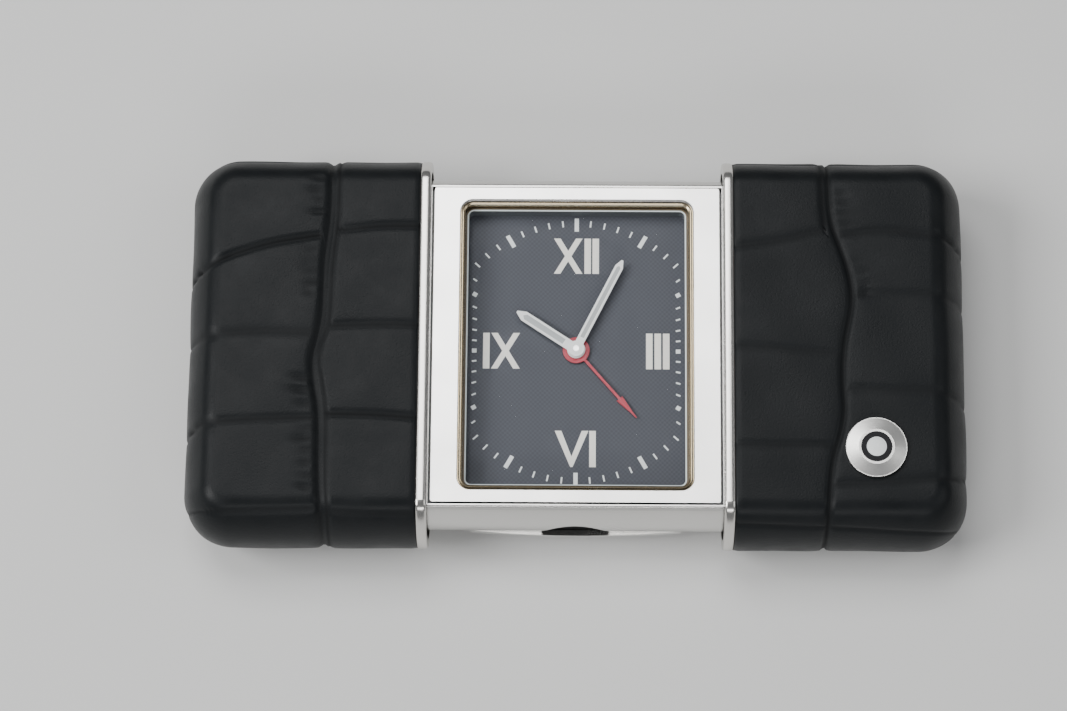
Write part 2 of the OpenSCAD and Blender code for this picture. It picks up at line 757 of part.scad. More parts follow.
// Round hatch outline with three locking lugs
module hatch_outline(r, lug_r, spread, turn) {
    circle(r);
    intersection() {
        circle(lug_r);
        for (k = [0:2]) rotate([0, 0, k * 120 + turn])
            polygon([[0, 0], 12 * [cos(spread / 2), -sin(spread / 2)], 12 * [cos(spread / 2), sin(spread / 2)]]);
    }
}

module back_plate() {
    color("lightgray") difference() {
        union() {
            rounded_prism(back_half_x, back_half_y, 0.4, back_z, back_z + back_thick);
            for (x = [[-14.5, -knuckle_out - 0.1], [-knuckle_in + 0.1, knuckle_in - 0.1],
                [knuckle_out + 0.1, 14.5]])
                block(x[0], x[1], hinge_y - 1.1, hinge_y + 1.1, back_z + back_thick - eps, back_z + 1.6);
        }
        block(-stand_half_x - 0.2, stand_half_x + 0.2, -back_half_y - 1, hinge_y - 1, back_z - 1,
            back_z + stand_recess);
        for (s = [-1, 1]) translate([s * (knuckle_in + knuckle_out) / 2, hinge_y, back_z + 1])
            cube([knuckle_out - knuckle_in + 0.2, 2.1, 4], center = true);
        intersection() {
            hinge_bore(hinge_pin_r);
            block(-14.2, 14.2, -5, 5, -5, 20);
        }
        translate([0, battery_y, back_z - 1]) linear_extrude(4)
            hatch_outline(hatch_r + 0.08, hatch_lug_r + 0.08, hatch_lug_angle + 2, 60);
        for (p = [alarm_knob_at, time_knob_at]) translate([p[0], p[1], back_z]) {
            translate([0, 0, -1]) cylinder(r = knob_well_r, h = 1.7);
            cylinder(r = 0.75, h = 3);
        }
        block(-switch_half_x - switch_travel / 2 - 0.1, switch_half_x + switch_travel / 2 + 0.1,
            switch_y - switch_half_y - 0.08, switch_y + switch_half_y + 0.08, back_z - 1, back_z + 3);
        for (i = [-2:2]) translate([i * 1.6, 18.3, back_z - 1]) cylinder(r = 0.4, h = 4);
        at_four(back_screw_at) {
            translate([0, 0, back_z - 1]) cylinder(r = 1.1, h = 1.55);
            translate([0, 0, back_z]) cylinder(r = 0.55, h = 3);
        }
    }
}

module back_screws() {
    color("silver") at_four(back_screw_at) translate([0, 0, back_z + 0.05]) screw(1.05, 0.5, 0.5, 1.8);
}

module stand_hinge_pin() {
    color("silver") intersection() {
        hinge_bore(hinge_pin_r);
        block(-14.2, 14.2, -5, 5, -5, 20);
    }
}

// Lip that follows the chassis' rounded side, bowed in plan, between the chassis and a closed cover
module stand_lip() {
    outer = [-(cover_height / 2 - cover_arc), cover_arc - wall - 0.18];
    inner = [-(chassis_half_y - chassis_arc), chassis_arc + 0.1];
    function side(arc, z) = [arc[0] - sqrt(arc[1]^2 - (z - mid_z)^2), z];
    bottom = back_z + 0.05;
    shelf = back_z + stand_thick;
    intersection() {
        translate([0, 0, back_z]) linear_extrude(2) polygon([[lift_half_x, lift_root_y],
            for (i = [12:-1:-12]) [i * lift_half_x / 12, lift_end_y + lift_bow * (i / 12)^2],
            [-lift_half_x, lift_root_y]]);
        translate([-lift_half_x - 1, 0, 0]) rotate([90, 0, 90]) linear_extrude(2 * lift_half_x + 2)
            polygon([[lift_root_y - 0.1, bottom],
                for (i = [0:6]) side(outer, bottom + (lift_top_z - bottom) * i / 6),
                for (i = [6:-1:0]) side(inner, shelf + (lift_top_z - shelf) * i / 6),
                [lift_root_y - 0.1, shelf]]);
    }
}

module stand() {
    top = hinge_y - 1.2;
    color("lightgray") difference() {
        union() {
            stand_lip();
            translate([0, 0, back_z]) linear_extrude(stand_thick) intersection() {
                translate([0, (top + stand_end_y) / 2])
                    rounded_outline(stand_half_x, (top - stand_end_y) / 2, 0.5);
                union() {
                    translate([0, stand_end_y + 10]) rounded_outline(stand_half_x, 10, stand_corner);
                    translate([-20, stand_end_y + 10]) square([40, 40]);
                }
            }
            for (s = [-1, 1]) translate([s * (knuckle_in + knuckle_out) / 2, 0, 0]) {
                w = knuckle_out - knuckle_in;
                block(-w / 2, w / 2, top - 0.3, hinge_y, back_z + 0.06, back_z + stand_thick);
                translate([-w / 2, hinge_y, hinge_z]) rotate([0, 90, 0]) cylinder(r = knuckle_r, h = w);
            }
        }
        hinge_bore(hinge_pin_r + 0.05);
        // the free edge is chamfered to clear the covers
        translate([0, stand_end_y, back_z]) rotate([45, 0, 0]) cube([40, 0.3, 0.3], center = true);
    }
}

module battery_hatch() {
    color("lightgray") translate([0, battery_y, 0]) difference() {
        union() {
            translate([0, 0, back_z + stand_recess]) cylinder(r = hatch_r, h = back_thick - stand_recess + 0.35);
            translate([0, 0, back_z + back_thick + 0.05]) linear_extrude(0.3)
                hatch_outline(hatch_r, hatch_lug_r, hatch_lug_angle, 0);
        }
        block(-3.6, 3.6, -0.55, 0.55, back_z, back_z + stand_recess + 0.35);
    }
}

module knob(at) {
    translate([at[0], at[1], 0]) {
        difference() {
            translate([0, 0, knob_top_z]) cylinder(r = knob_r, h = back_z + 0.6 - knob_top_z);
            for (i = [0:23]) rotate([0, 0, i * 15]) translate([knob_r + 0.12, 0, knob_top_z - 1])
                cylinder(r = 0.3, h = 3);
            translate([0, 0, knob_top_z - 1]) cylinder(r = 1.6, h = 1.25);
        }
        translate([0, 0, back_z + 0.5]) cylinder(r = 0.7, h = cannon_layer_z - back_z - 0.5);
    }
}

module time_knob() {
    color("silver") knob(time_knob_at);
}

module alarm_knob() {
    color("silver") {
        knob(alarm_knob_at);
        translate([alarm_knob_at[0], alarm_knob_at[1], cannon_layer_z])
            cylinder(r = 0.7, h = alarm_layer_z - cannon_layer_z);
    }
}

module time_pinion() {
    color("ghostwhite") translate([time_knob_at[0], time_knob_at[1], cannon_layer_z])
        gear(time_pinion_t, work_m,
            mesh_phase(knob_from_wheel_dir, minute_wheel_phase, minute_wheel_t, time_pinion_t), 0.3, 0.3);
}

module alarm_pinion() {
    color("ghostwhite") translate([alarm_knob_at[0], alarm_knob_at[1], alarm_layer_z])
        gear(alarm_pinion_t, work_m, mesh_phase(alarm_dir, 0, alarm_wheel_t, alarm_pinion_t), 0.3, 0.3);
}

module alarm_switch() {
    color("silver") translate([-switch_travel / 2, switch_y, 0]) {
        difference() {
            block(-switch_half_x, switch_half_x, -switch_half_y, switch_half_y, back_z - 0.5,
                back_z + back_thick + 0.1);
            for (i = [-2:2]) block(i * 0.7 - 0.12, i * 0.7 + 0.12, -5, 5, back_z - 1, back_z - 0.3);
        }
        block(-switch_half_x - 0.6, switch_half_x + 0.6, -switch_half_y - 0.5, switch_half_y + 0.4,
            back_z + back_thick + 0.05, back_z + back_thick + 0.35);
    }
}

// ---------- slide fittings ----------

module stop_bar() {
    color("silver") block(mouth_x + bead_width + 0.1, mouth_x + bead_width + 1.3, -11, 11, front_z,
        cover_thick - wall - 0.15);
}

spring_rise = cover_thick - wall - 0.1 - front_z;

module cover_springs() {
    color("silver") at_sides() for (sy = [-1, 1]) translate([0, sy * 12 - 2, front_z])
        rotate([90, 0, 0]) mirror([0, 0, 1]) linear_extrude(4)
            polygon([[22.4, 0], [24, 0], [25.2, spring_rise - 0.15], [25.9, spring_rise - 0.15],
                [26.9, 0.3], [26.9, 0.55], [26, spring_rise], [25.1, spring_rise], [23.8, 0.15], [22.4, 0.15]]);
}

module at_sides() {
    children();
    left_side() children();
}

module glide_pads() {
    color("white") at_sides() for (sy = [-1, 1])
        block(20.6, 26, sy * 13 - 4, sy * 13 + 4, wall + 0.05, back_z);
}

chassis_frame();
front_plate();
bezel_ring();
crystal();
crystal_gasket();
dial_surround();
dial();
dial_numerals();
dial_minute_marks();
movement_plate();
movement_bridge();
bridge_screws();
movement_screws();
motor_stator();
motor_coil();
circuit_board();
quartz_can();
buzzer();
battery();
battery_contacts();
back_plate();
back_screws();
stand_hinge_pin();
left_side() stop_bar();  // left_stop_bar
stop_bar();  // right_stop_bar
cover_springs();
glide_pads();
minute_hand();
minute_hand_lume();
centre_arbor();
centre_wheel();
hour_hand();
hour_hand_lume();
hour_wheel();
alarm_hand();
alarm_wheel();
minute_wheel();
third_wheel();
rotor();
time_knob();
time_pinion();
alarm_knob();
alarm_pinion();
alarm_switch();
stand();
battery_hatch();
left_side() leather();  // left_leather
left_side() shell();  // left_shell
left_side() rim();  // left_rim
difference() {  // right_leather
    leather();
    badge_stud_hole();
}
difference() {  // right_shell
    shell();
    badge_stud_hole();
}
rim();  // right_rim
badge();
badge_inlay();
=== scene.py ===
import json
import math
import random

import bmesh
import bpy
import numpy as np
from mathutils import Matrix, Vector


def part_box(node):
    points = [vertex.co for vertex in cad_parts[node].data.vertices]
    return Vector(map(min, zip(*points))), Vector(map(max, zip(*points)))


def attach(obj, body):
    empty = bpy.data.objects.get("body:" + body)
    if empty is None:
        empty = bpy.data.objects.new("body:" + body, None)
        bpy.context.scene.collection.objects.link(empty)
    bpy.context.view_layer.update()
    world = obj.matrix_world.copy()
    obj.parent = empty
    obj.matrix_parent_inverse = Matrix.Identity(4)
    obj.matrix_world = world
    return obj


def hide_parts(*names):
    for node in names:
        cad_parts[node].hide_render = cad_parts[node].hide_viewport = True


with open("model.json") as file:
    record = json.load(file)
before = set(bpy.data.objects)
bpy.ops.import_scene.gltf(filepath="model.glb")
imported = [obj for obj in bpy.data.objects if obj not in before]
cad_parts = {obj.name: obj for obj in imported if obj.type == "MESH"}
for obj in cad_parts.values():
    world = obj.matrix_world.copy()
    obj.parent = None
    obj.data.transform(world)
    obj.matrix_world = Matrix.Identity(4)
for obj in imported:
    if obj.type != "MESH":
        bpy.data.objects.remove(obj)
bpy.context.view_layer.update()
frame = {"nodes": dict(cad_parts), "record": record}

mm = 0.001
nodes = frame["nodes"]
print("frame loaded:", len(nodes), "nodes")


# The camera, set against the middle of the front plate
cameraSetup = {
    "height": 73.5,        # degrees above the table, seen from the six o'clock side
    "distance": 469 * mm,  # from the middle of the front plate
    "lens": 122.2,
    "aim": (-5.52 * mm, -1.64 * mm),  # how far right and up of the plate's middle it aims
    "roll": 0.3,           # degrees
    "sensor": 36,
    "near": 0.01, "far": 20,
}
right = Vector((1, 0, 0))


def facing(spot, aim):
    # turns something at spot to look at aim, with its own X as near level as can be
    back = (spot - aim).normalized()
    side = (right - back * right.dot(back)).normalized()
    return Matrix((side, back.cross(side), back)).transposed()


def placeCamera(setup):
    low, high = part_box("front_plate")
    target = Vector(((low.x + high.x) / 2, (low.y + high.y) / 2, high.z))
    angle = math.radians(setup["height"])
    backwards = Vector((0, -math.cos(angle), math.sin(angle)))
    up = backwards.cross(right)
    spot = target + backwards * setup["distance"]
    aim = target + right * setup["aim"][0] + up * setup["aim"][1]
    bpy.ops.object.camera_add(location=spot)
    camera = bpy.context.object
    camera.name = "camera"
    turn = facing(spot, aim) @ Matrix.Rotation(math.radians(setup["roll"]), 3, "Z")
    camera.matrix_world = Matrix.Translation(spot) @ turn.to_4x4()
    camera.data.lens = setup["lens"]
    camera.data.sensor_width = setup["sensor"]
    camera.data.clip_start = setup["near"]
    camera.data.clip_end = setup["far"]
    bpy.context.scene.camera = camera


placeCamera(cameraSetup)
print("camera placed")


def newMaterial(name, colour=(0.8, 0.8, 0.8), roughness=0.5, metallic=0.0):
    material = bpy.data.materials.new(name)
    material.use_nodes = True
    shader = material.node_tree.nodes["Principled BSDF"]
    shader.inputs["Base Color"].default_value = (*colour, 1)
    shader.inputs["Roughness"].default_value = roughness
    shader.inputs["Metallic"].default_value = metallic
    material.diffuse_color = (*colour, 1)
    return material, shader


def addNode(material, kind, values=None, **settings):
    node = material.node_tree.nodes.new(kind)
    for key, value in settings.items():
        setattr(node, key, value)
    for key, value in (values or {}).items():
        node.inputs[key].default_value = value
    return node


def join(material, start, end):
    material.node_tree.links.new(start, end)


def place(material, scale=(1, 1, 1), turn=(0, 0, 0)):
    # object coordinates in millimetres, stretched and turned
    coordinates = addNode(material, "ShaderNodeTexCoord")
    stretch = tuple(s / mm for s in scale)
    mapping = addNode(material, "ShaderNodeMapping", {"Scale": stretch, "Rotation": turn})
    join(material, coordinates.outputs["Object"], mapping.inputs["Vector"])
    return mapping.outputs["Vector"]


def noise(material, vector, scale, detail=3.0, rough=0.5):
    texture = addNode(material, "ShaderNodeTexNoise",
                      {"Scale": scale, "Detail": detail, "Roughness": rough})
    join(material, vector, texture.inputs["Vector"])
    return texture.outputs["Fac"]


def spread(material, value, low, high, fromLow=0.3, fromHigh=0.7):
    # stretches a pattern's values out to run from low to high
    change = addNode(material, "ShaderNodeMapRange",
                     {"From Min": fromLow, "From Max": fromHigh, "To Min": low, "To Max": high})
    join(material, value, change.inputs["Value"])
    return change.outputs["Result"]


def blendColours(material, value, first, second):
    # each colour is three numbers or the output of another node
    mix = addNode(material, "ShaderNodeMix", data_type="RGBA")
    for socket, colour in ((mix.inputs[6], first), (mix.inputs[7], second)):
        if isinstance(colour, tuple):
            socket.default_value = (*colour, 1)
        else:
            join(material, colour, socket)
    join(material, value, mix.inputs[0])
    return mix.outputs[2]


def colourOf(material):
    # what feeds the shader's colour so far
    shader = material.node_tree.nodes["Principled BSDF"]
    return shader.inputs["Base Color"].links[0].from_socket


def split(material, vector):
    parts = addNode(material, "ShaderNodeSeparateXYZ")
    join(material, vector, parts.inputs["Vector"])
    return parts.outputs


def bump(material, height, distance, strength=1.0, under=None):
    node = addNode(material, "ShaderNodeBump", {"Strength": strength, "Distance": distance})
    join(material, height, node.inputs["Height"])
    if under:
        join(material, under, node.inputs["Normal"])
    return node.outputs["Normal"]


def arithmetic(material, operation, first, second=None, third=None):
    node = addNode(material, "ShaderNodeMath", operation=operation)
    for index, part in enumerate((first, second, third)):
        if part is None:
            continue
        if isinstance(part, (int, float)):
            node.inputs[index].default_value = part
        else:
            join(material, part, node.inputs[index])
    return node.outputs[0]


# The finishes, one entry for each slot of the record
steelFinishes = {
    # colour, roughness, how the brushing runs (small number = along it), grain depth in mm
    "satin_steel": {"colour": (0.93, 0.92, 0.90), "roughness": 0.22, "brush": (1, 1, 1), "depth": 0.002},
    "case_steel": {"colour": (0.68, 0.67, 0.65), "roughness": 0.22, "brush": (0.03, 1, 1), "depth": 0.004},
    "back_steel": {"colour": (0.60, 0.59, 0.57), "roughness": 0.33, "brush": (1, 0.03, 1), "depth": 0.004},
    "shell_steel": {"colour": (0.42, 0.42, 0.41), "roughness": 0.38, "brush": (0.05, 1, 1), "depth": 0.004},
    "knob_steel": {"colour": (0.66, 0.65, 0.63), "roughness": 0.28, "brush": (1, 1, 1), "depth": 0.003},
    "badge_steel": {"colour": (0.93, 0.92, 0.89), "roughness": 0.30, "brush": (1, 1, 1), "depth": 0.002},
    "polished_rim": {"colour": (0.70, 0.68, 0.65), "roughness": 0.2, "brush": (1, 1, 1), "depth": 0.001},
    "polished_steel": {"colour": (0.52, 0.43, 0.29), "roughness": 0.2, "brush": (1, 1, 1), "depth": 0.001},
    "screw_steel": {"colour": (0.70, 0.69, 0.68), "roughness": 0.22, "brush": (1, 1, 1), "depth": 0.002},
    "battery_steel": {"colour": (0.68, 0.67, 0.65), "roughness": 0.25, "brush": (1, 1, 1), "depth": 0.002},
    "brass_plate": {"colour": (0.72, 0.55, 0.25), "roughness": 0.28, "brush": (1, 0.1, 1), "depth": 0.003},
    "iron": {"colour": (0.22, 0.22, 0.23), "roughness": 0.42, "brush": (1, 1, 1), "depth": 0.003},
}


def steel(name, colour, roughness, brush, depth):
    material, shader = newMaterial(name, colour, roughness, 1.0)
    grain = noise(material, place(material, brush), 9.0, 4.0, 0.6)
    smudge = noise(material, place(material), 0.12, 3.0)
    darker = tuple(c * 0.93 for c in colour)
    join(material, blendColours(material, grain, darker, colour), shader.inputs["Base Color"])
    rough = arithmetic(material, "ADD", spread(material, grain, roughness * 0.85, roughness * 1.1),
                       spread(material, smudge, 0.0, 0.05))
    join(material, rough, shader.inputs["Roughness"])
    join(material, bump(material, grain, depth * mm, 0.6), shader.inputs["Normal"])
    return material


paintFinishes = {
    "cream_print": {"colour": (0.97, 0.95, 0.89), "roughness": 0.5},
    "white_print": {"colour": (0.94, 0.97, 0.97), "roughness": 0.5},
    "hand_white": {"colour": (0.95, 0.96, 0.95), "roughness": 0.4},
    "lume": {"colour": (0.50, 0.52, 0.53), "roughness": 0.7},
    "hand_red": {"colour": (0.42, 0.025, 0.05), "roughness": 0.4},
    "anthracite": {"colour": (0.10, 0.11, 0.12), "roughness": 0.45},
    "cream_plastic": {"colour": (0.62, 0.56, 0.43), "roughness": 0.55},
    "white_plastic": {"colour": (0.75, 0.75, 0.72), "roughness": 0.45},
    "black_plastic": {"colour": (0.02, 0.02, 0.021), "roughness": 0.5},
    "board_green": {"colour": (0.03, 0.14, 0.06), "roughness": 0.35},
    "coil_copper": {"colour": (0.42, 0.16, 0.07), "roughness": 0.35},
}


def paint(name, colour, roughness):
    material, shader = newMaterial(name, colour, roughness)
    mottle = noise(material, place(material), 2.2, 4.0)
    darker = tuple(c * 0.90 for c in colour)
    join(material, blendColours(material, mottle, darker, colour), shader.inputs["Base Color"])
    join(material, spread(material, mottle, roughness * 0.9, roughness * 1.15), shader.inputs["Roughness"])
    grain = noise(material, place(material), 14.0, 2.0)
    join(material, bump(material, grain, 0.004 * mm, 0.5), shader.inputs["Normal"])
    return material


dialFinish = {
    "colour": (0.088, 0.093, 0.110), "shade": (0.072, 0.076, 0.090), "roughness": 0.5,
    "pitch": 0.60,   # mm between the lozenges of the woven pattern
    "shine": 0.1,
}


def dialPaint(name, finish):
    material, shader = newMaterial(name, finish["colour"], finish["roughness"])
    vector = place(material)
    parts = split(material, vector)
    turns = 2 * math.pi / finish["pitch"]
    across = arithmetic(material, "ADD", parts["X"], parts["Y"])
    along = arithmetic(material, "SUBTRACT", parts["X"], parts["Y"])
    weave = arithmetic(material, "ADD",
                       arithmetic(material, "SINE", arithmetic(material, "MULTIPLY", across, turns)),
                       arithmetic(material, "SINE", arithmetic(material, "MULTIPLY", along, turns)))
    fac = spread(material, weave, 0.0, 1.0, -1.4, 1.4)
    tone = blendColours(material, fac, finish["shade"], finish["colour"])
    join(material, tone, shader.inputs["Base Color"])
    join(material, spread(material, noise(material, vector, 0.3), 0.38, 0.46), shader.inputs["Roughness"])
    shader.inputs["Specular IOR Level"].default_value = finish["shine"]
    return material


sealFinish = {
    # painted light: a pale painted highlight where the crystal's edge catches the light, and a dark brown
    # painted shade under the bezel
    "painted_highlight": (0.80, 0.90, 0.94), "painted_shade": (0.13, 0.10, 0.065), "roughness": 0.4,
    "line": 0.17,     # mm, width of the painted highlight line round the dial
    "lip": 0.1,       # how far the painted highlight goes down its inner wall
    "wall": 0.4, "corner": 0.7,
}


def glassSeal(name, finish):
    # only the seal's inner lip gets the pale painted highlight of the crystal's edge, the rest is painted
    # dark as the shade of the bezel
    material = paint(name, finish["painted_highlight"], finish["roughness"])
    shader = material.node_tree.nodes["Principled BSDF"]
    low, high = (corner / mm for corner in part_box("crystal_gasket"))
    centre = (low + high) / 2
    half = (high - low) / 2
    core = [side - finish["wall"] - finish["corner"] for side in (half.x, half.y)]
    farDown = 1000  # so that height counts for nothing
    vector = place(material)
    for operation, other in (("SUBTRACT", (centre.x, centre.y, 0)), ("ABSOLUTE", (0, 0, 0)),
                             ("SUBTRACT", (*core, farDown)), ("MAXIMUM", (0, 0, 0))):
        step = addNode(material, "ShaderNodeVectorMath", operation=operation)
        step.inputs[1].default_value = other
        join(material, vector, step.inputs[0])
        vector = step.outputs["Vector"]
    out = addNode(material, "ShaderNodeVectorMath", operation="LENGTH")
    join(material, vector, out.inputs[0])
    near = arithmetic(material, "LESS_THAN", out.outputs["Value"], finish["corner"] + finish["line"])
    height = split(material, place(material))["Z"]
    top = arithmetic(material, "GREATER_THAN", height, high.z - finish["lip"])
    lip = arithmetic(material, "MULTIPLY", near, top)
    # painted highlight on the lip, painted shade on the rest of the seal
    tone = blendColours(material, lip, finish["painted_shade"], colourOf(material))
    join(material, tone, shader.inputs["Base Color"])
    return material


glassFinish = {"colour": (0.99, 1.0, 1.0), "bending": 1.003, "haze": 0.02}


def clearGlass(name, finish):
    material, shader = newMaterial(name, finish["colour"], finish["haze"] / 2)
    shader.inputs["Transmission Weight"].default_value = 1.0
    shader.inputs["IOR"].default_value = finish["bending"]
    smudge = noise(material, place(material), 0.15, 2.0)
    join(material, spread(material, smudge, 0.0, finish["haze"]), shader.inputs["Roughness"])
    # lamp rays and bounced light pass straight through on their way to the dial
    path = addNode(material, "ShaderNodeLightPath")
    through = addNode(material, "ShaderNodeBsdfTransparent")
    surface = shader.outputs["BSDF"]
    for ray in ("Is Shadow Ray", "Is Diffuse Ray"):
        mix = addNode(material, "ShaderNodeMixShader")
        join(material, path.outputs[ray], mix.inputs["Fac"])
        join(material, surface, mix.inputs[1])
        join(material, through.outputs["BSDF"], mix.inputs[2])
        surface = mix.outputs["Shader"]
    join(material, surface, material.node_tree.nodes["Material Output"].inputs["Surface"])
    return material


enamelFinish = {"low": (0.009, 0.009, 0.011), "high": (0.016, 0.016, 0.018), "roughness": 0.45, "shine": 0.2}


def blackEnamel(name, finish):
    material, shader = newMaterial(name, finish["high"], finish["roughness"])
    cloud = noise(material, place(material), 1.5)
    join(material, blendColours(material, cloud, finish["low"], finish["high"]), shader.inputs["Base Color"])
    shader.inputs["Specular IOR Level"].default_value = finish["shine"]
    return material


leatherFinish = {
    # crease is the colour of the painted shade at the bottom of creases and wrinkles
    "low": (0.0066, 0.0078, 0.0088), "high": (0.0095, 0.0110, 0.0122), "crease": (0.003, 0.0034, 0.0038),
    "roughness": (0.36, 0.44), "shine": 0.16,
    "grain": 0.034,   # mm, depth of the fine grain
    "pores": 0.016,   # mm
    "dull": 0.4,      # how much rougher the bottom of a crease is
}


def blackLeather(name, finish):
    material, shader = newMaterial(name, finish["high"], 0.42)
    shader.inputs["Specular IOR Level"].default_value = finish["shine"]
    vector = place(material)
    cloud = noise(material, vector, 0.35, 4.0)
    grain = noise(material, vector, 3.6, 5.0, 0.62)
    pores = addNode(material, "ShaderNodeTexVoronoi", {"Scale": 2.6, "Randomness": 1.0}, feature="F1")
    join(material, vector, pores.inputs["Vector"])
    pit = spread(material, pores.outputs["Distance"], 0.0, 1.0, 0.05, 0.35)
    # painted shade: the crease attribute blackens the creases and wrinkles and makes them rougher
    groove = addNode(material, "ShaderNodeAttribute", attribute_name="crease")
    body = blendColours(material, cloud, finish["low"], finish["high"])
    tone = blendColours(material, groove.outputs["Fac"], body, finish["crease"])
    join(material, tone, shader.inputs["Base Color"])
    low, high = finish["roughness"]
    rough = arithmetic(material, "ADD", spread(material, cloud, low, high),
                       arithmetic(material, "MULTIPLY", groove.outputs["Fac"], finish["dull"]))
    join(material, rough, shader.inputs["Roughness"])
    first = bump(material, pit, finish["pores"] * mm, 0.5)
    join(material, bump(material, grain, finish["grain"] * mm, 0.8, first), shader.inputs["Normal"])
    return material


cutFinish = {"low": (0.022, 0.010, 0.006), "high": (0.07, 0.032, 0.018), "roughness": 0.75, "depth": 0.03}


def cutLeather(name, finish):
    material, shader = newMaterial(name, finish["high"], finish["roughness"])
    fibres = noise(material, place(material, (1, 6, 6)), 2.0, 5.0)
    join(material, blendColours(material, fibres, finish["low"], finish["high"]), shader.inputs["Base Color"])
    join(material, bump(material, fibres, finish["depth"] * mm, 0.6), shader.inputs["Normal"])
    return material


def inside(material, parts, lows, highs):
    # one where a point lies inside the box, in millimetres
    result = 1.0
    for axis, low, high in zip("XYZ", lows, highs):
        above = arithmetic(material, "GREATER_THAN", parts[axis], low)
        below = arithmetic(material, "LESS_THAN", parts[axis], high)
        result = arithmetic(material, "MULTIPLY", result, arithmetic(material, "MULTIPLY", above, below))
    return result


caseShadePaint = {
    # painted shade: black in the fingernail notch and in the seat round the front plate; sizes in millimetres
    "colour": (0.008, 0.008, 0.008),
    "notchRadius": 4.43, "notchRise": 1.8, "notchReach": 2.5,  # the fingernail notch
    "seatDepth": 3, "seatLip": 0.05, "seatSide": 0.4, "seatEnd": 0.3,  # the seat round the front plate
}


def caseSteel(name, finish, shadePaint):
    material = steel(name, **finish)
    shader = material.node_tree.nodes["Principled BSDF"]
    parts = split(material, place(material))
    low, high = (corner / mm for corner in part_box("chassis_frame"))
    plateLow, plateHigh = (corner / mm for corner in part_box("front_plate"))
    height = arithmetic(material, "SUBTRACT", parts["Z"], low.z + shadePaint["notchRise"])
    squares = [arithmetic(material, "POWER", part, 2.0) for part in (parts["X"], height)]
    out = arithmetic(material, "SQRT", arithmetic(material, "ADD", *squares))
    notch = arithmetic(material, "MULTIPLY", arithmetic(material, "LESS_THAN", out, shadePaint["notchRadius"]),
                       arithmetic(material, "LESS_THAN", parts["Y"], low.y + shadePaint["notchReach"]))
    side, end = shadePaint["seatSide"], shadePaint["seatEnd"]
    seat = inside(material, parts, (plateLow.x - side, plateLow.y - end, high.z - shadePaint["seatDepth"]),
                  (plateHigh.x + side, plateHigh.y + end, high.z - shadePaint["seatLip"]))
    # painted shade, black and not metal, in the notch and the seat
    shadePaintMask = arithmetic(material, "MAXIMUM", notch, seat)
    tone = blendColours(material, shadePaintMask, colourOf(material), shadePaint["colour"])
    join(material, tone, shader.inputs["Base Color"])
    join(material, arithmetic(material, "SUBTRACT", 1.0, shadePaintMask), shader.inputs["Metallic"])
    return material


materials = {name: steel(name, **finish) for name, finish in steelFinishes.items() if name != "case_steel"}
materials["case_steel"] = caseSteel("case_steel", steelFinishes["case_steel"], caseShadePaint)
materials.update({name: paint(name, **finish) for name, finish in paintFinishes.items()})
materials["dial_anthracite"] = dialPaint("dial_anthracite", dialFinish)
materials["gasket_rubber"] = glassSeal("gasket_rubber", sealFinish)
materials["crystal_glass"] = clearGlass("crystal_glass", glassFinish)
materials["black_enamel"] = blackEnamel("black_enamel", enamelFinish)
materials["black_leather"] = blackLeather("black_leather", leatherFinish)
materials["cut_leather"] = cutLeather("cut_leather", cutFinish)

for part in frame["record"]["subparts"]:
    piece = nodes[part["node"]]
    piece.data.materials.clear()
    piece.data.materials.append(materials[part["material_slot"]])
print("materials made:", len(materials))


def deselect():
    if bpy.context.object and bpy.context.object.mode != "OBJECT":
        bpy.ops.object.mode_set(mode="OBJECT")
    bpy.ops.object.select_all(action="DESELECT")


leatherForm = {
    "halfHeight": 26.0, "halfThick": 7.8, "corner": 6.3, "side": 10.2, "edge": 3.2,
    "step": 0.21,          # mm between the points of the outer face
    "sideStep": 0.4,       # and across the rounded sides
    "liningStep": 1.6,
    "thick": 0.85,
    "mouthDip": 0.13,      # how far the edge at the mouth is pressed down
    "mouthDipReach": 0.4,
}

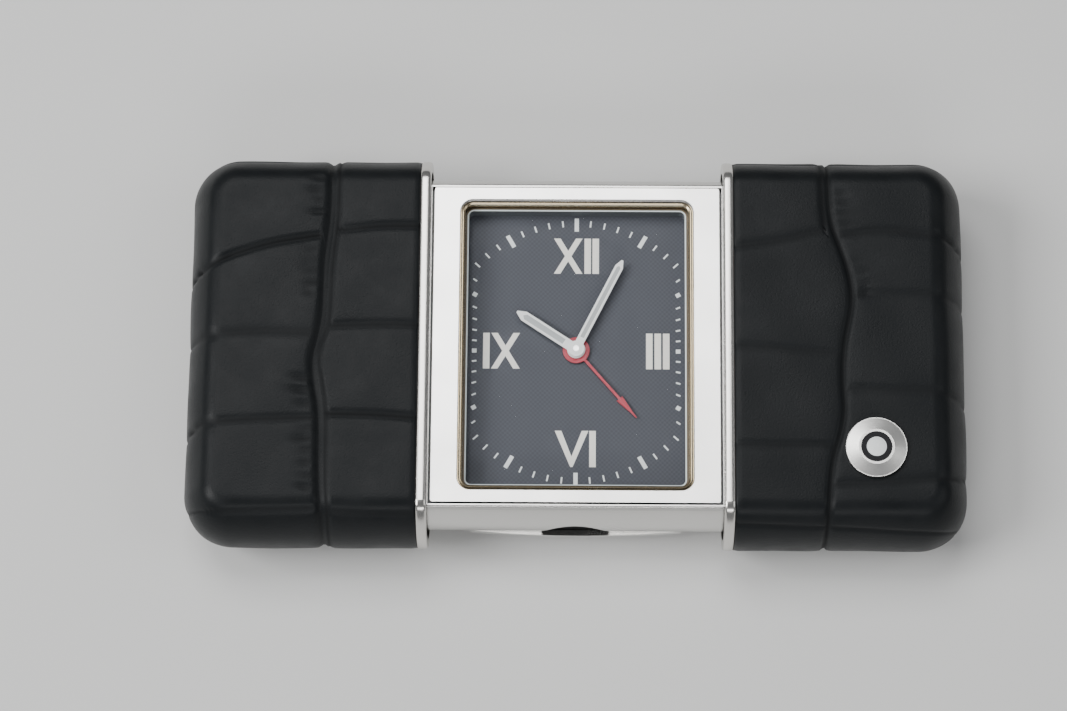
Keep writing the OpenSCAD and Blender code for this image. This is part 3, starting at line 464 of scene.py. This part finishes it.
# Creases, as points (distance from the mouth, height above the middle), measured over the surface.
# depth and width are the groove's, pillow is how far the pads round down beside it, and the last
# number is how much painted shade blackens the bottom of the groove.
leftCreases = [
    {"depth": 0.42, "width": 0.5, "pillow": 0.1, "painted_shade": 0.35,
     "points": [(11.7, 31.2), (11.5, 19), (11.7, 15), (12.3, 10), (12.3, 3.5), (12.9, 0), (13.6, -3),
                (13.3, -6), (12.5, -10), (12.4, -18), (12.0, -24), (12.1, -31.2)]},
    {"depth": 0.2, "width": 0.28, "pillow": 0.0, "painted_shade": 0.6,
     "points": [(10.6, 31.2), (10.6, 19), (10.7, 15), (11.3, 10), (11.4, 3.5), (11.6, 1.5), (12.6, -1),
                (12.8, -3), (12.2, -6), (11.6, -10), (11.6, -18), (11.2, -24), (11.3, -31.2)]},
    {"depth": 0.35, "width": 0.22, "pillow": 0.07, "painted_shade": 0.96,
     "points": [(36, 8), (30, 9), (25, 10.8), (19.4, 12.7), (13.0, 13.8)]},
    {"depth": 0.29, "width": 0.22, "pillow": 0.06, "painted_shade": 0.78,
     "points": [(36, 0), (26.6, 0.2), (20, 0.8), (13.4, 0.6)]},
    {"depth": 0.26, "width": 0.22, "pillow": 0.06, "painted_shade": 0.72,
     "points": [(36, -13), (28.5, -11.7), (25.5, -11.1), (13, -10.6)]},
    {"depth": 0.15, "width": 0.26, "pillow": 0.08, "painted_shade": 0.42,
     "points": [(36, -24), (26, -23.4), (13, -22.9)]},
    {"depth": 0.29, "width": 0.22, "pillow": 0.05, "painted_shade": 0.78,
     "points": [(10.6, 14.6), (5, 15.2), (0, 15.2)]},
    {"depth": 0.22, "width": 0.26, "pillow": 0.07, "painted_shade": 0.6,
     "points": [(11.4, 1.6), (5, 1.9), (0, 1.7)]},
    {"depth": 0.29, "width": 0.22, "pillow": 0.05, "painted_shade": 0.78,
     "points": [(11.6, -10.2), (5, -10.3), (0, -10.7)]},
    {"depth": 0.11, "width": 0.26, "pillow": 0.06, "painted_shade": 0.3,
     "points": [(11.2, -23.2), (5, -23.6), (0, -23.5)]},
    {"depth": 0.18, "width": 0.26, "pillow": 0.08, "painted_shade": 0.48,
     "points": [(36, 27), (24, 26.4), (12, 26.8), (0, 27.4)]},
]
rightCreases = [
    {"depth": 0.38, "width": 0.3, "pillow": 0.1, "painted_shade": 0.75,
     "points": [(12.3, 31.2), (12.2, 22), (12.5, 16), (13.7, 12.7), (14.8, 9.5), (15.3, 6), (15.0, 3.6),
                (14.2, 0), (13.9, -3), (13.9, -6.5), (14.1, -9.3), (13.6, -12.4), (12.5, -15.4),
                (12.0, -20), (11.6, -31.2)]},
    {"depth": 0.16, "width": 0.4, "pillow": 0.0, "painted_shade": 0.6,
     "points": [(11.4, 31.2), (11.4, 22), (11.8, 15)]},
    {"depth": 0.33, "width": 0.22, "pillow": 0.05, "painted_shade": 0.9,
     "points": [(0, 12.6), (6, 13.4), (11.8, 14.8)]},
    {"depth": 0.14, "width": 0.26, "pillow": 0.05, "painted_shade": 0.39,
     "points": [(0, -0.9), (7, -1.4), (13.5, -2.2)]},
    {"depth": 0.15, "width": 0.26, "pillow": 0.05, "painted_shade": 0.42,
     "points": [(0, -14.2), (6, -14.3), (12.5, -14.3)]},
    {"depth": 0.2, "width": 0.26, "pillow": 0.05, "painted_shade": 0.54,
     "points": [(14.0, 14.2), (19, 14.9), (24, 14.6), (29, 13.6), (36, 12)]},
    {"depth": 0.13, "width": 0.26, "pillow": 0.07, "painted_shade": 0.36,
     "points": [(16, 6.1), (28, 5.9), (36, 5.5)]},
    {"depth": 0.14, "width": 0.26, "pillow": 0.07, "painted_shade": 0.39,
     "points": [(14.4, -6.7), (29, -7.2), (36, -8)]},
    {"depth": 0.18, "width": 0.26, "pillow": 0.08, "painted_shade": 0.48,
     "points": [(12.4, -19.2), (20, -18.9), (28, -18.3), (36, -17)]},
    {"depth": 0.15, "width": 0.26, "pillow": 0.08, "painted_shade": 0.42,
     "points": [(0, 26.6), (12, 26.2), (24, 26.6), (36, 27)]},
    {"depth": 0.13, "width": 0.26, "pillow": 0.06, "painted_shade": 0.36,
     "points": [(0, -25), (12, -25.4), (24, -26.4), (36, -27)]},
]
# Short wrinkles beside the main crease: the stretches of height that have them, and their depth
wrinkleRows = {
    "left": {"stretches": [(17, 22), (6, 12.5), (-9, -4.5), (-20, -12)], "depth": 0.2},
    "right": {"stretches": [(15.8, 20.5), (6.5, 12.5)], "depth": 0.14},
}
# the last entry scales the painted shade each wrinkle gets from its depth
wrinkleForm = {
    "away": (1.5, 2.2), "half": (0.9, 1.4), "tilt": (-0.12, 0.12), "share": (0.5, 1.2), "gap": (1.2, 1.9),
    "width": 0.36, "painted_shade_gain": 2.0,
}
swell = {"base": 0.06, "height": 0.03, "pillowReach": 1.25}  # mm, the leather's slow waves


def rounded(points, rounds=2):
    # cuts the corners of a line of points
    line = np.array(points, float)
    for _ in range(rounds):
        first = line[:-1] * 0.75 + line[1:] * 0.25
        second = line[:-1] * 0.25 + line[1:] * 0.75
        inner = np.empty((2 * len(first), 2))
        inner[0::2] = first
        inner[1::2] = second
        line = np.vstack([line[:1], inner[1:-1], line[-1:]])
    return line


def distanceTo(line, x, y):
    best = np.full(x.shape, np.inf)
    for start, end in zip(line[:-1], line[1:]):
        run = end - start
        share = np.clip(((x - start[0]) * run[0] + (y - start[1]) * run[1]) / (run @ run), 0, 1)
        best = np.minimum(best, np.hypot(x - start[0] - share * run[0], y - start[1] - share * run[1]))
    return best


def gridBox(name, size, step, sideStep):
    # a box from x = 0 to its length, with its mouth at x = 0 left open and its faces cut into small squares
    deselect()
    bpy.ops.mesh.primitive_cube_add(size=1, location=(size[0] / 2, 0, 0))
    box = bpy.context.object
    box.name = name
    box.scale = size
    bpy.ops.object.transform_apply(location=True, rotation=False, scale=True)
    bpy.ops.object.mode_set(mode="EDIT")
    bpy.ops.mesh.select_mode(type="FACE")
    bpy.ops.mesh.select_all(action="DESELECT")
    mesh = bmesh.from_edit_mesh(box.data)
    for face in mesh.faces:
        face.select = face.normal.x < -0.5
    bmesh.update_edit_mesh(box.data)
    bpy.ops.mesh.delete(type="FACE")
    bpy.ops.mesh.select_mode(type="EDGE")
    for axis in range(3):
        bpy.ops.mesh.select_all(action="DESELECT")
        mesh = bmesh.from_edit_mesh(box.data)
        for edge in mesh.edges:
            run = edge.verts[1].co - edge.verts[0].co
            edge.select = abs(run[axis]) > 0.9 * run.length
        bmesh.update_edit_mesh(box.data)
        cuts = 2 * round(size[axis] / (sideStep if axis == 2 else step) / 2) - 1
        bpy.ops.mesh.subdivide(number_cuts=cuts)
    bpy.ops.object.mode_set(mode="OBJECT")
    return box


def coverForm(points, length, form, inset):
    # moves box points onto the cover's form, and also returns where each lies on the flattened leather
    corner, side, edge = form["corner"] - inset, form["side"] - inset, form["edge"] - inset
    halfThick, halfHeight = form["halfThick"] - inset, form["halfHeight"] - inset
    bend = math.asin((halfThick - edge) / (side - edge))
    flat = corner - side + (side - edge) * math.cos(bend)
    edgeRun = edge * (math.pi / 2 - bend)
    whole = flat + edgeRun + side * bend
    x, y, z = points.T
    straightX, straightY = length - corner, halfHeight - corner
    overX, overY = np.maximum(x - straightX, 0), np.maximum(np.abs(y) - straightY, 0)
    reach = np.maximum(overX, overY)
    safe = np.where(reach > 0, reach, 1)
    angle = np.where(overX >= overY, math.pi / 4 * overY / safe, math.pi / 2 - math.pi / 4 * overX / safe)
    onSide = np.abs(z) < halfThick - 1e-6
    run = np.where(onSide, corner + halfThick - np.abs(z), reach) * whole / (corner + halfThick)
    edgeTurn = math.pi / 2 - (run - flat) / max(edge, 1e-6)
    sideTurn = bend - (run - flat - edgeRun) / side
    out = np.where(run < flat, run, np.where(run < flat + edgeRun, flat + edge * np.cos(edgeTurn),
                                             corner - side + side * np.cos(sideTurn)))
    onEdge = halfThick - edge + edge * np.sin(edgeTurn)
    up = np.where(run < flat, halfThick, np.where(run < flat + edgeRun, onEdge, side * np.sin(sideTurn)))
    signY, signZ = np.sign(y), np.sign(z)
    placed = np.stack([np.minimum(x, straightX) + out * np.cos(angle),
                       signY * (np.minimum(np.abs(y), straightY) + out * np.sin(angle)), signZ * up], 1)
    overLeather = np.stack([np.minimum(x, straightX) + run * np.cos(angle),
                            signY * (np.minimum(np.abs(y), straightY) + run * np.sin(angle))], 1)
    return placed, overLeather


def readPoints(piece, key="co"):
    values = np.empty(3 * len(piece.data.vertices))
    piece.data.vertices.foreach_get(key, values)
    return values.reshape(-1, 3)


def writePoints(piece, points):
    piece.data.vertices.foreach_set("co", np.ascontiguousarray(points).ravel())
    piece.data.update()


def creaseDepth(x, y, creases, wrinkles, seed):
    # how much painted shade each point of the leather gets in the creases and wrinkles, and how far it is
    # sunk
    groove, pillow, painted_shade = np.zeros(x.shape), np.zeros(x.shape), np.zeros(x.shape)
    for crease in creases:
        away = distanceTo(rounded(crease["points"]), x, y)
        profile = np.exp(-(away / crease["width"]) ** 2)
        groove = np.maximum(groove, crease["depth"] * profile)
        painted_shade = np.maximum(painted_shade, crease["painted_shade"] * profile)
        pillow = np.maximum(pillow, crease["pillow"] * np.exp(-(away / swell["pillowReach"]) ** 1.5))
    draw = random.Random(seed)
    main = rounded(creases[0]["points"])
    fine = np.zeros(x.shape)
    for low, high in wrinkles["stretches"]:
        height = low
        while height < high:
            start = np.interp(-height, -main[:, 1], main[:, 0])
            centre = start + draw.uniform(*wrinkleForm["away"])
            half = draw.uniform(*wrinkleForm["half"])
            tilt = draw.uniform(*wrinkleForm["tilt"])
            depth = wrinkles["depth"] * draw.uniform(*wrinkleForm["share"])
            across = (y - height - tilt * (x - centre)) / wrinkleForm["width"]
            fine = np.maximum(fine, depth * np.exp(-across ** 2 - ((x - centre) / half) ** 2))
            height += draw.uniform(*wrinkleForm["gap"])
    wave = np.sin(0.55 * x + 0.31 * y + seed) + np.sin(0.23 * x - 0.47 * y + 2 * seed)
    sunk = groove + pillow + fine + swell["base"] + swell["height"] * wave
    return np.maximum(painted_shade, fine * wrinkleForm["painted_shade_gain"]), sunk


followForm = {"reach": 7, "fade": 0.6, "edge": 24.5}  # mm, how far a row is drawn to a crease


def followCreases(points, creases, spacing):
    # shifts the box's rows and columns so that one of them runs along the bottom of each crease
    moved = points.copy()
    fade = followForm["fade"]
    for crease in creases:
        if not crease["pillow"]:
            continue
        line = rounded(crease["points"])
        along = 0 if np.ptp(line[:, 0]) > np.ptp(line[:, 1]) else 1
        across = 1 - along
        line = line[np.argsort(line[:, along])]
        first, last = line[0, along], line[-1, along]
        base = round(line[:, across].mean() / spacing[across]) * spacing[across]
        if abs(base) > followForm["edge"]:
            continue
        wanted = np.interp(points[:, along], line[:, along], line[:, across])
        near = np.clip(1 - (np.abs(points[:, across] - base) / followForm["reach"]) ** 2, 0, 1) ** 2
        begun = np.clip((points[:, along] - first + fade) / fade, 0, 1)
        unended = np.clip((last + fade - points[:, along]) / fade, 0, 1)
        moved[:, across] += (wanted - base) * near * begun * unended
    return moved


def turnOver():
    # makes the faces of the active piece point the other way
    bpy.ops.object.mode_set(mode="EDIT")
    bpy.ops.mesh.select_all(action="SELECT")
    bpy.ops.mesh.flip_normals()
    bpy.ops.object.mode_set(mode="OBJECT")


def makeOuterFace(side, creases, length, form, seed):
    outer = gridBox(side + "_leather_skin", (length, 2 * form["halfHeight"], 2 * form["halfThick"]),
                    form["step"], form["sideStep"])
    boxPoints = readPoints(outer)
    spacing = [np.diff(np.unique(boxPoints[:, axis].round(4))).mean() for axis in range(2)]
    points, over = coverForm(followCreases(boxPoints, creases, spacing), length, form, 0.0)
    writePoints(outer, points)
    normals = readPoints(outer, "normal")
    painted_shade, depth = creaseDepth(over[:, 0], over[:, 1], creases, wrinkleRows[side], seed)
    depth = depth + form["mouthDip"] * np.exp(-(points[:, 0] / form["mouthDipReach"]) ** 2)
    writePoints(outer, points - normals * depth[:, None])
    # the crease attribute carries the painted shade of the creases and wrinkles
    attribute = outer.data.attributes.new("crease", "FLOAT", "POINT")
    attribute.data.foreach_set("value", painted_shade.astype(np.float32))
    return outer


def makeLining(side, length, form):
    inset = form["thick"]
    size = (length - inset, 2 * (form["halfHeight"] - inset), 2 * (form["halfThick"] - inset))
    lining = gridBox(side + "_lining", size, form["liningStep"], form["liningStep"])
    points, over = coverForm(readPoints(lining), length - inset, form, inset)
    writePoints(lining, points)
    lining.data.attributes.new("crease", "FLOAT", "POINT")
    turnOver()
    return lining


def closeMouth(outer, lining):
    # joins the two and bridges their edges, and returns how many faces there were before the bridge
    deselect()
    lining.select_set(True)
    outer.select_set(True)
    bpy.context.view_layer.objects.active = outer
    bpy.ops.object.join()
    bpy.ops.object.mode_set(mode="EDIT")
    bpy.ops.mesh.select_mode(type="EDGE")
    bpy.ops.mesh.select_all(action="DESELECT")
    mesh = bmesh.from_edit_mesh(outer.data)
    for edge in mesh.edges:
        edge.select = edge.is_boundary
    bmesh.update_edit_mesh(outer.data)
    before = len(mesh.faces)
    bpy.ops.mesh.bridge_edge_loops()
    bpy.ops.object.mode_set(mode="OBJECT")
    return before


def leatherCover(side, creases, form, seed):
    sign = -1 if side == "left" else 1
    low, high = (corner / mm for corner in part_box(side + "_leather"))
    mouth = min(abs(low.x), abs(high.x))
    length = max(abs(low.x), abs(high.x)) - mouth
    middleZ = (low.z + high.z) / 2
    outer = makeOuterFace(side, creases, length, form, seed)
    bridged = closeMouth(outer, makeLining(side, length, form))
    points = readPoints(outer)
    points[:, 0] = sign * (points[:, 0] + mouth)
    points[:, 2] += middleZ
    writePoints(outer, points * mm)
    if sign < 0:
        turnOver()
    outer.data.materials.append(materials["black_leather"])
    outer.data.materials.append(materials["cut_leather"])
    for face in outer.data.polygons:
        face.use_smooth = face.index < bridged
        face.material_index = 0 if face.index < bridged else 1
    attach(outer, side + "_cover")
    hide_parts(side + "_leather")
    print(side, "leather made:", len(outer.data.polygons), "faces")


leatherCover("left", leftCreases, leatherForm, 3)
leatherCover("right", rightCreases, leatherForm, 8)

# The mark on the badge
badgeMark = {"dot": 1.2, "dotRise": 0.24, "segments": 40, "ringSegments": 48}


def makeBadgeMark(look):
    # a plain domed dot on a low step, on the badge's black inlay
    low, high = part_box("badge_inlay")
    centre = Vector(((low.x + high.x) / 2, (low.y + high.y) / 2, high.z))
    deselect()
    bpy.ops.mesh.primitive_uv_sphere_add(location=centre, radius=look["dot"] * mm,
                                         segments=look["segments"], ring_count=look["segments"] // 2)
    dot = bpy.context.object
    dot.scale = (1, 1, look["dotRise"] / look["dot"])
    bpy.ops.object.transform_apply(location=True, rotation=False, scale=True)
    bpy.ops.mesh.primitive_torus_add(location=centre, major_radius=look["dot"] * mm,
                                     minor_radius=look["dotRise"] * mm / 3,
                                     major_segments=look["ringSegments"], minor_segments=10)
    ring = bpy.context.object
    bpy.ops.object.transform_apply(location=True, rotation=False, scale=False)
    deselect()
    dot.select_set(True)
    ring.select_set(True)
    bpy.context.view_layer.objects.active = ring
    bpy.ops.object.join()
    ring.name = "badge_mark"
    bpy.ops.object.shade_smooth()
    ring.data.materials.append(materials["white_print"])
    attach(ring, "right_cover")


makeBadgeMark(badgeMark)
print("fittings made")

# The studio
studio = {
    "floor": (0.70, 0.70, 0.69),
    "floorSize": 6, "floorTop": -0.0001,
    "skyColour": (0.80, 0.82, 0.85), "skyPower": 0.22,
    "lamps": [
        # place, where it points, width, depth, power
        ((-0.18, 0.37, 0.95), (0, 0, 0), 0.56, 0.42, 4.2),
        ((0.0, -0.80, 0.59), (0, 0, 0), 0.8, 0.22, 2.6),
        ((-0.8, -0.1, 0.8), (0, 0, 0), 0.5, 0.6, 10.0),
        ((0.8, -0.1, 0.8), (0, 0, 0), 0.5, 0.6, 1.7),
    ],
}


def paleFloor(name, colour):
    material, shader = newMaterial(name, colour, 0.6)
    cloud = noise(material, place(material), 0.02, 3.0)
    paler = tuple(min(1, c * 1.05) for c in colour)
    join(material, blendColours(material, cloud, colour, paler), shader.inputs["Base Color"])
    return material


def buildStudio(setup):
    deselect()
    bpy.ops.mesh.primitive_plane_add(size=setup["floorSize"], location=(0, 0, setup["floorTop"]))
    floor = bpy.context.object
    floor.name = "floor"
    floor.data.materials.append(paleFloor("pale_floor", setup["floor"]))
    for index, (spot, aim, width, depth, power) in enumerate(setup["lamps"]):
        bpy.ops.object.light_add(type="AREA", location=spot)
        lamp = bpy.context.object
        lamp.name = f"softbox_{index}"
        lamp.rotation_euler = facing(Vector(spot), Vector(aim)).to_euler()
        lamp.data.shape = "RECTANGLE"
        lamp.data.size = width
        lamp.data.size_y = depth
        lamp.data.energy = power
    world = bpy.data.worlds.new("studio")
    world.use_nodes = True
    background = world.node_tree.nodes["Background"]
    background.inputs["Color"].default_value = (*setup["skyColour"], 1)
    background.inputs["Strength"].default_value = setup["skyPower"]
    bpy.context.scene.world = world


buildStudio(studio)
print("studio built")
